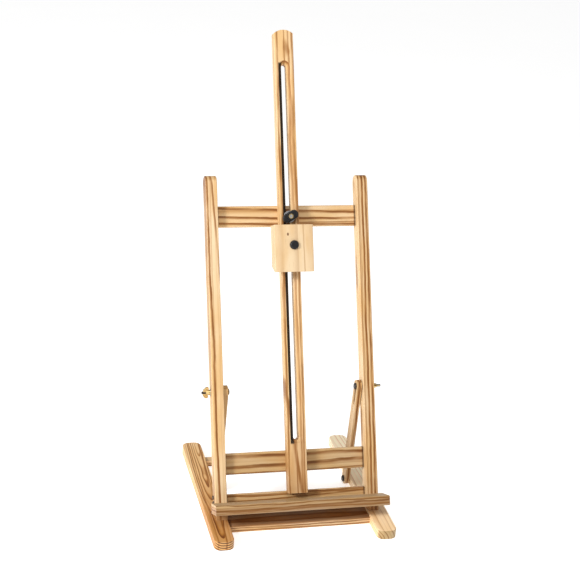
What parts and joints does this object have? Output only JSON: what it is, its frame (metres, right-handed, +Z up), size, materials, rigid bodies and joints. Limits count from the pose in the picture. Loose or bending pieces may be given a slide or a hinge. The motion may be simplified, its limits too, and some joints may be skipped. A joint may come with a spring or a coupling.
{
  "type": "artist easel",
  "caption": "Wooden tabletop artist easel: a tilting H frame on a flat base, a slotted sliding mast, a canvas clamp and a ledge.",
  "frame": {"origin": "on the table plane, under the middle of the front stretcher", "axes": "+X towards the artist's right, +Y towards the back, +Z up"},
  "size_m": [0.348, 0.4743, 0.8492],
  "materials": {
    "pine": "satin",
    "dowel_wood": "satin",
    "hinge_brass": "satin",
    "zinc_steel": "satin",
    "dark_steel": "satin",
    "black_plastic": "satin"
  },
  "bodies": {
    "base": {"left_base_runner": "pine", "right_base_runner": "pine", "front_stretcher": "pine", "rear_stretcher": "pine", "stretcher_dowels": "dowel_wood", "hinge_base_leaves": "hinge_brass", "hinge_pins": "hinge_brass", "hinge_base_screws": "zinc_steel", "strut_foot_bolts": "dark_steel", "strut_foot_washers": "zinc_steel"},
    "frame": {"left_upright": "pine", "right_upright": "pine", "upper_crossbar": "pine", "lower_crossbar": "pine", "bottom_rail": "pine", "crossbar_dowels": "dowel_wood", "bottom_rail_screws": "dark_steel", "canvas_ledge": "pine", "ledge_screws": "zinc_steel", "hinge_frame_leaves": "hinge_brass", "hinge_frame_screws": "zinc_steel", "tilt_bolts": "dark_steel", "tilt_spacers": "zinc_steel", "tilt_washers": "zinc_steel", "mast_bolt": "zinc_steel", "mast_washer": "zinc_steel"},
    "mast": {"mast": "pine"},
    "canvas_clamp": {"clamp_block": "pine", "clamp_bolt": "zinc_steel", "clamp_cap": "black_plastic", "clamp_washer": "zinc_steel"},
    "left_strut": {"left_strut": "pine"},
    "right_strut": {"right_strut": "pine"},
    "mast_knob": {"mast_knob": "black_plastic", "mast_knob_insert": "hinge_brass"},
    "clamp_knob": {"clamp_knob": "black_plastic", "clamp_knob_insert": "hinge_brass"},
    "left_wing_nut": {"left_wing_nut": "hinge_brass"},
    "right_wing_nut": {"right_wing_nut": "hinge_brass"}
  },
  "joints": [
    {"name": "frame_tilt", "type": "hinge", "parent": "base", "child": "frame", "pos_m": [0, 0.02305, 0.0161], "axis": [-1, 0, 0], "range_deg": [0, 15]},
    {"name": "left_strut_pivot", "type": "hinge", "parent": "base", "child": "left_strut", "pos_m": [-0.1299, 0.12485, 0.0106], "axis": [-1, 0, 0], "range_deg": [0, 14.8]},
    {"name": "right_strut_pivot", "type": "hinge", "parent": "base", "child": "right_strut", "pos_m": [0.1299, 0.12485, 0.0106], "axis": [-1, 0, 0], "range_deg": [0, 14.8]},
    {"name": "mast_slide", "type": "slide", "parent": "frame", "child": "mast", "axis": [0, 0.4226, 0.9063], "range_m": [-0.009, 0.16]},
    {"name": "clamp_slide", "type": "slide", "parent": "frame", "child": "canvas_clamp", "axis": [0, 0.4226, 0.9063], "range_m": [-0.16, 0]},
    {"name": "mast_knob_turn", "type": "hinge", "parent": "frame", "child": "mast_knob", "pos_m": [0, 0.21757, 0.52979], "axis": [0, -0.9063, 0.4226], "continuous": true},
    {"name": "clamp_knob_turn", "type": "hinge", "parent": "canvas_clamp", "child": "clamp_knob", "pos_m": [0, 0.22423, 0.466], "axis": [0, 0.9063, -0.4226], "continuous": true},
    {"name": "left_wing_nut_turn", "type": "hinge", "parent": "frame", "child": "left_wing_nut", "pos_m": [-0.162, 0.1049, 0.22428], "axis": [-1, 0, 0], "continuous": true},
    {"name": "right_wing_nut_turn", "type": "hinge", "parent": "frame", "child": "right_wing_nut", "pos_m": [0.162, 0.1049, 0.22428], "axis": [1, 0, 0], "continuous": true}
  ],
  "couplings": [
    {"joint": "left_strut_pivot", "follows": "frame_tilt", "ratio": 0.98},
    {"joint": "right_strut_pivot", "follows": "frame_tilt", "ratio": 0.98}
  ]
}
